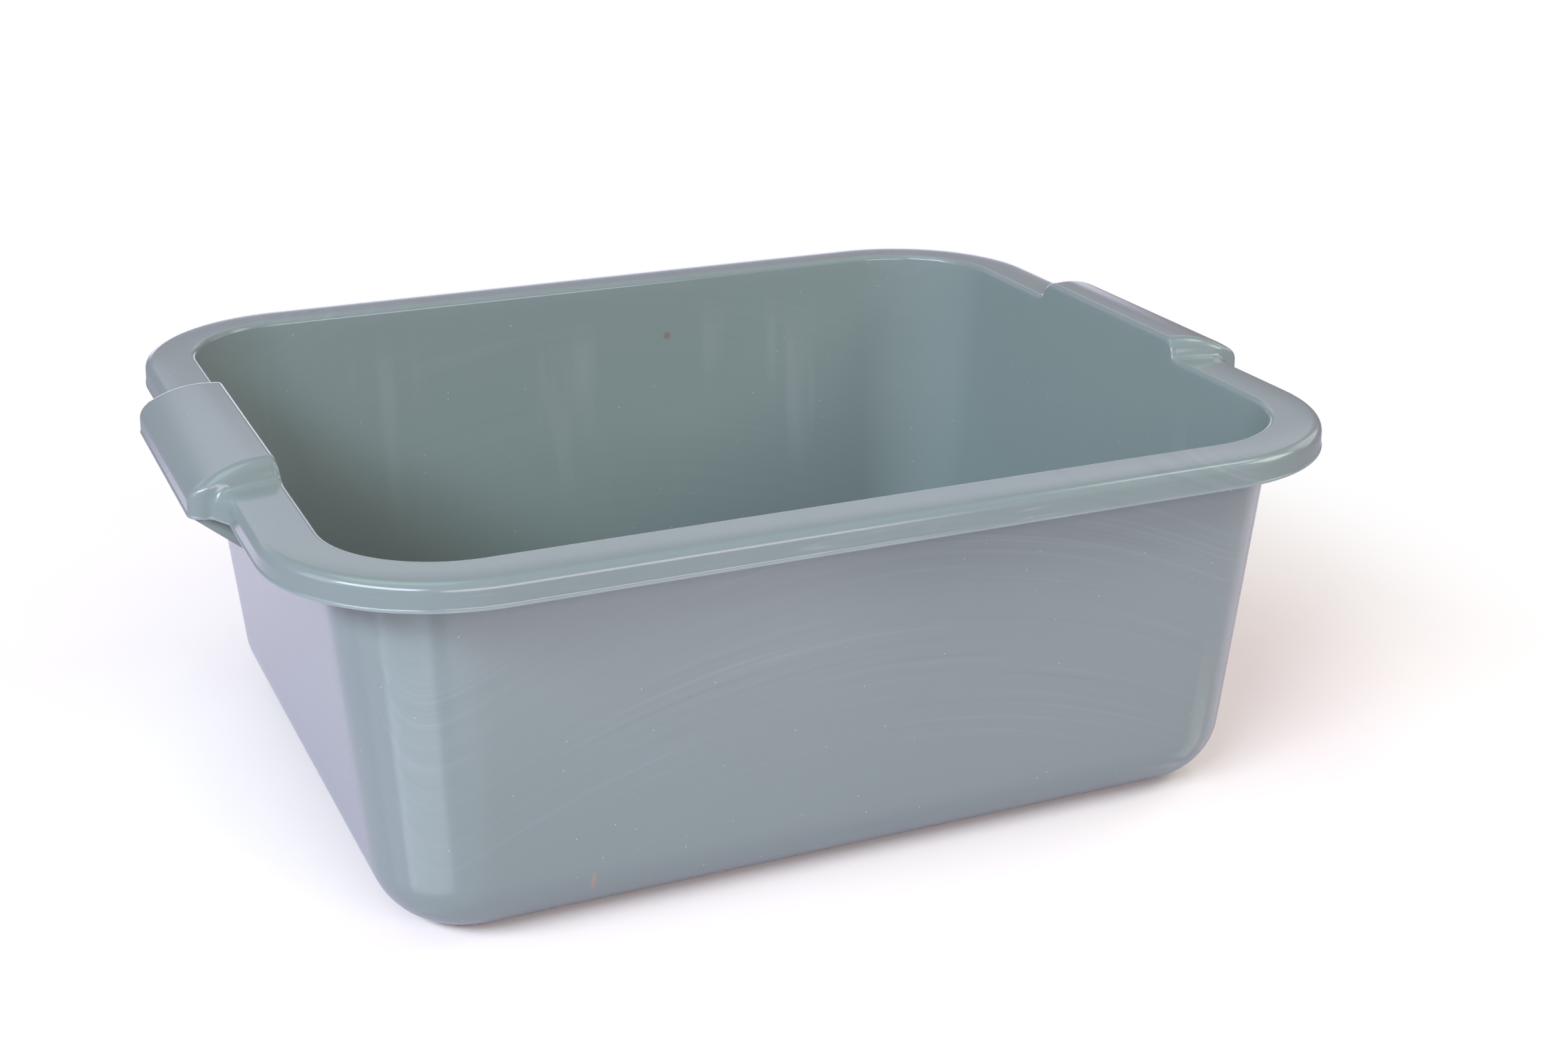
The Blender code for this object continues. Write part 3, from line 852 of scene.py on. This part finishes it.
def plastic():
    """The basin's plastic: base colour, then each mark over it in turn."""
    material = bpy.data.materials.new("grey_green_plastic")
    graph = Graph(material)
    at = coordinates(graph)
    cloud = graph.noise(at["point"], CLOUD_DETAIL, CLOUD_SIZE)
    pale_flow, dark_flow = flow_marks(graph, at)
    streaks, rings, worn = drag_streaks(graph, at), ejector_rings(graph, at), scuffs(graph, at)
    grit, rust = specks(graph, at)
    flash_top, flash_middle = SKIRT_FOOT + FLASH_HEIGHT, SKIRT_FOOT + FLASH_HEIGHT / 2
    flash = at["skirt"] * graph.step(at["z"], flash_top, flash_middle)
    drawn = graph.vector("MULTIPLY", at["point"], DRIP_DRAWN)
    drip_centre = tuple(a * b for a, b in zip(DRIP_PLACE, DRIP_DRAWN))

    outside = 1 - at["inside"] * INSIDE_CALM
    colour = graph.mix(cloud, PLASTIC, PLASTIC_CLOUD)
    colour = graph.mix(pale_flow * outside * PALE_FLOW_SHOWS, colour, PALE)
    colour = graph.mix(dark_flow * outside * DARK_FLOW_SHOWS, colour, DARK)
    colour = graph.mix(streaks * STREAKS_SHOW + worn * SCUFFS_SHOW + flash * FLASH_SHOWS
                       + rings * RINGS_SHOW, colour, PALE)
    colour = graph.mix(grit * GRIT_SHOWS, colour, GRIT)
    colour = graph.mix(rust * RUST_SHOWS, colour, RUST)
    stain = spot(graph, at["point"], STAIN_PLACE, STAIN_RADIUS)
    colour = graph.mix(stain * STAIN_SHOWS, colour, STAIN)
    colour = graph.mix(spot(graph, drawn, drip_centre, DRIP_RADIUS) * DRIP_SHOWS, colour, RUST)

    roughness = (GLOSS + cloud * CLOUD_DULLS + worn * SCUFFS_DULL + streaks * STREAKS_DULL
                 + grit * GRIT_DULLS)
    height = (graph.noise(at["point"], PEEL_DETAIL, PEEL_SIZE) * PEEL_HIGH + worn * SCUFFS_HIGH
              + grit * GRIT_HIGH + rings * RINGS_HIGH + streaks * STREAKS_HIGH)
    normal = graph.node("ShaderNodeBump", inputs={"Distance": BUMP_UNIT, "Height": height})
    graph.end("ShaderNodeOutputMaterial", graph.node("ShaderNodeBsdfPrincipled", inputs={
        "Base Color": colour, "Roughness": roughness, "IOR": PLASTIC_IOR, "Normal": normal}))
    return material


finish = plastic()
for piece in (basin, webs):
    piece.data.materials.append(finish)
print("nodes in the plastic:", len(finish.node_tree.nodes))

# %% [markdown]
# ## Table
# The basin stands on a polished white table. To the camera the table is matt, keeps the basin's
# soft shadow and fades to plain white away from it. The basin's own walls mirror the polish, so
# for every other ray the table is glossy, slightly tinted, and painted darker further away, which
# is painted shade. Mixing the two by the kind of ray gives a white background without any extra
# light on the object.

# %% Table
TABLE_HALF = 1.5
TABLE_COLOUR = (0.82, 0.77, 0.84, 1)
# painted shade: the mirrored table is coloured darker further out, in place of the light falling off
# there
FAR_SHADE_COLOUR = (0.40, 0.39, 0.42, 1)      # what the basin mirrors of the table further away
FAR_FADE = (0.40, 0.56)         # and the distances from the middle over which that takes over
TABLE_GLOSS = 0.08              # roughness of the polish, as the basin's walls mirror it
TABLE_FADE = (0.24, 0.44)       # distances from the middle over which the table turns plain white
TABLE_MATT = (0.98, 0.96, 0.88, 1)      # as the camera sees it: warm, which evens out the cool lamp
TABLE_IOR = 1.9
WHITE = (1, 1, 1, 1)

corners = TABLE_HALF * np.array([(-1, -1, 0), (1, -1, 0), (1, 1, 0), (-1, 1, 0)])
table = mesh_from(corners, [np.arange(4)[None, :]], "table")
table_finish = bpy.data.materials.new("white_table")
graph = Graph(table_finish)
away = graph.vector("LENGTH", graph.node("ShaderNodeTexCoord", output="Object"), output="Value")
matt = graph.node("ShaderNodeBsdfDiffuse", inputs={"Color": TABLE_MATT})
plain = graph.node("ShaderNodeEmission", inputs={"Color": WHITE})
shown = graph.node("ShaderNodeMixShader", inputs={0: graph.step(away, *TABLE_FADE), 1: matt, 2: plain})
# the mirrored table carries painted shade, darker further from the basin
polished = graph.node("ShaderNodeBsdfPrincipled", inputs={
    "Base Color": graph.mix(graph.step(away, *FAR_FADE), TABLE_COLOUR, FAR_SHADE_COLOUR),
    "Roughness": TABLE_GLOSS, "IOR": TABLE_IOR})
graph.end("ShaderNodeOutputMaterial", graph.node("ShaderNodeMixShader", inputs={
    0: graph.node("ShaderNodeLightPath", output="Is Camera Ray"), 1: polished, 2: shown}))
table.data.materials.append(table_finish)
print("table, m:", 2 * TABLE_HALF, "and plain white from", TABLE_FADE[1], "on")

# %% [markdown]
# ## Air and sweep
# Round the table the studio is dim, and a pale sweep hangs behind it. The rim is seen at a low
# angle, so its sheen is the mirror image of that sweep: a broad panel above, and a brighter
# strip near the horizon that draws the fine line along the mouth. Both are soft patches in the
# world's colour, worked out from the direction of a ray, because they need no mesh of their own.

# %% Air and sweep
AIR = (0.30, 0.20, 0.28, 1)
PANEL = (1.05, 0.96, 1.15, 1)
HORIZON = (2.3, 2.3, 2.7, 1)
PANEL_RISE = (0.28, 0.33)       # heights of direction, as sines, where the panel starts
PANEL_END = (0.56, 0.37)        # and where it ends
HORIZON_END = (0.17, 0.07)      # the horizon's glow ends at this height
PANEL_TOWARD = (0.16, 0.987, 0)        # the middle of the panel, behind the basin
PANEL_SIDE = (0.77, 0.85)       # cosines from that middle where it fades in
HORIZON_TOWARD = (0.276, 0.961, 0)
HORIZON_SIDE = (0.93, 0.975)
PLAN = (1, 1, 0)                # leaves a direction without its height

world = bpy.data.worlds.new("studio")
bpy.context.scene.world = world
graph = Graph(world)
direction = graph.node("ShaderNodeTexCoord", output="Generated")
upward = graph.node("ShaderNodeSeparateXYZ", inputs={0: direction}, output="Z")
flat = graph.vector("NORMALIZE", graph.vector("MULTIPLY", direction, PLAN))


def side_glow(toward, fade):
    """1 in the directions whose plan lies near a given one, by the cosine between the two."""
    return graph.step(graph.vector("DOT_PRODUCT", flat, toward, output="Value"), *fade)


panel = side_glow(PANEL_TOWARD, PANEL_SIDE) * graph.step(upward, *PANEL_RISE)
panel = panel * graph.step(upward, *PANEL_END)
horizon = side_glow(HORIZON_TOWARD, HORIZON_SIDE) * graph.step(upward, *HORIZON_END)
lit = graph.mix(horizon, graph.mix(panel, AIR, PANEL), HORIZON)
seen = graph.node("ShaderNodeLightPath", output="Is Camera Ray")
graph.end("ShaderNodeOutputWorld", graph.node("ShaderNodeBackground", inputs={
    "Color": graph.mix(seen, lit, WHITE)}))
print("nodes in the world:", len(world.node_tree.nodes))

# %% [markdown]
# ## Lamps
# Seven soft lamps light the basin. The strong cool one at the left front is large and stands
# further off: it draws the streak on the rim's near corner, and its image in the table is the
# pale band down the corner below. A low broad one lights the front, two lie to the left and
# above, and three weaker ones at the right give the far handle its highlights. Rectangular area
# lamps are right here, because a glossy basin shows their outline.


# %% Lamps
NEAR, FAR = 1.4, 3.0            # how far a lamp stands from the basin's middle


def softbox(name, azimuth, elevation, distance, width, height, watts, colour):
    """A rectangular area light that faces the basin. Azimuth 0 is the front, +90 the right."""
    light = bpy.data.lights.new(name, "AREA")
    light.shape = "RECTANGLE"
    light.size, light.size_y = width, height
    light.energy, light.color = watts, colour
    lamp = bpy.data.objects.new(name, light)
    bpy.context.scene.collection.objects.link(lamp)
    turn, lift = math.radians(azimuth), math.radians(elevation)
    outward = Vector((math.sin(turn) * math.cos(lift), -math.cos(turn) * math.cos(lift), math.sin(lift)))
    lamp.location = Vector((0, 0, RIM_TOP / 2)) + outward * distance
    lamp.rotation_euler = outward.to_track_quat("Z", "Y").to_euler()


softbox("left_softbox", -62, 36, FAR, 2.30, 0.72, 86, (0.77, 0.84, 1.0))
softbox("left_panel", -92, 26, NEAR, 0.6, 0.6, 3.2, (0.80, 0.76, 1.0))
softbox("front_panel", 0, 22, NEAR, 1.2, 0.4, 8.8, (1.0, 0.90, 0.96))
softbox("right_softbox", 68, 34, NEAR, 0.5, 0.5, 4.6, (0.96, 1.0, 0.86))
softbox("right_high_softbox", 88, 54, NEAR, 0.4, 0.25, 1.3, (0.95, 1.0, 0.98))
softbox("side_panel", 100, 22, NEAR, 0.6, 0.6, 1.6, (0.97, 0.92, 1.0))
softbox("top_panel", -120, 72, NEAR, 0.8, 0.8, 3.6, (0.70, 1.0, 0.85))

bpy.context.scene.view_settings.view_transform = "Standard"
print("lamps, W:", {light.name: round(light.energy, 1) for light in bpy.data.lights})
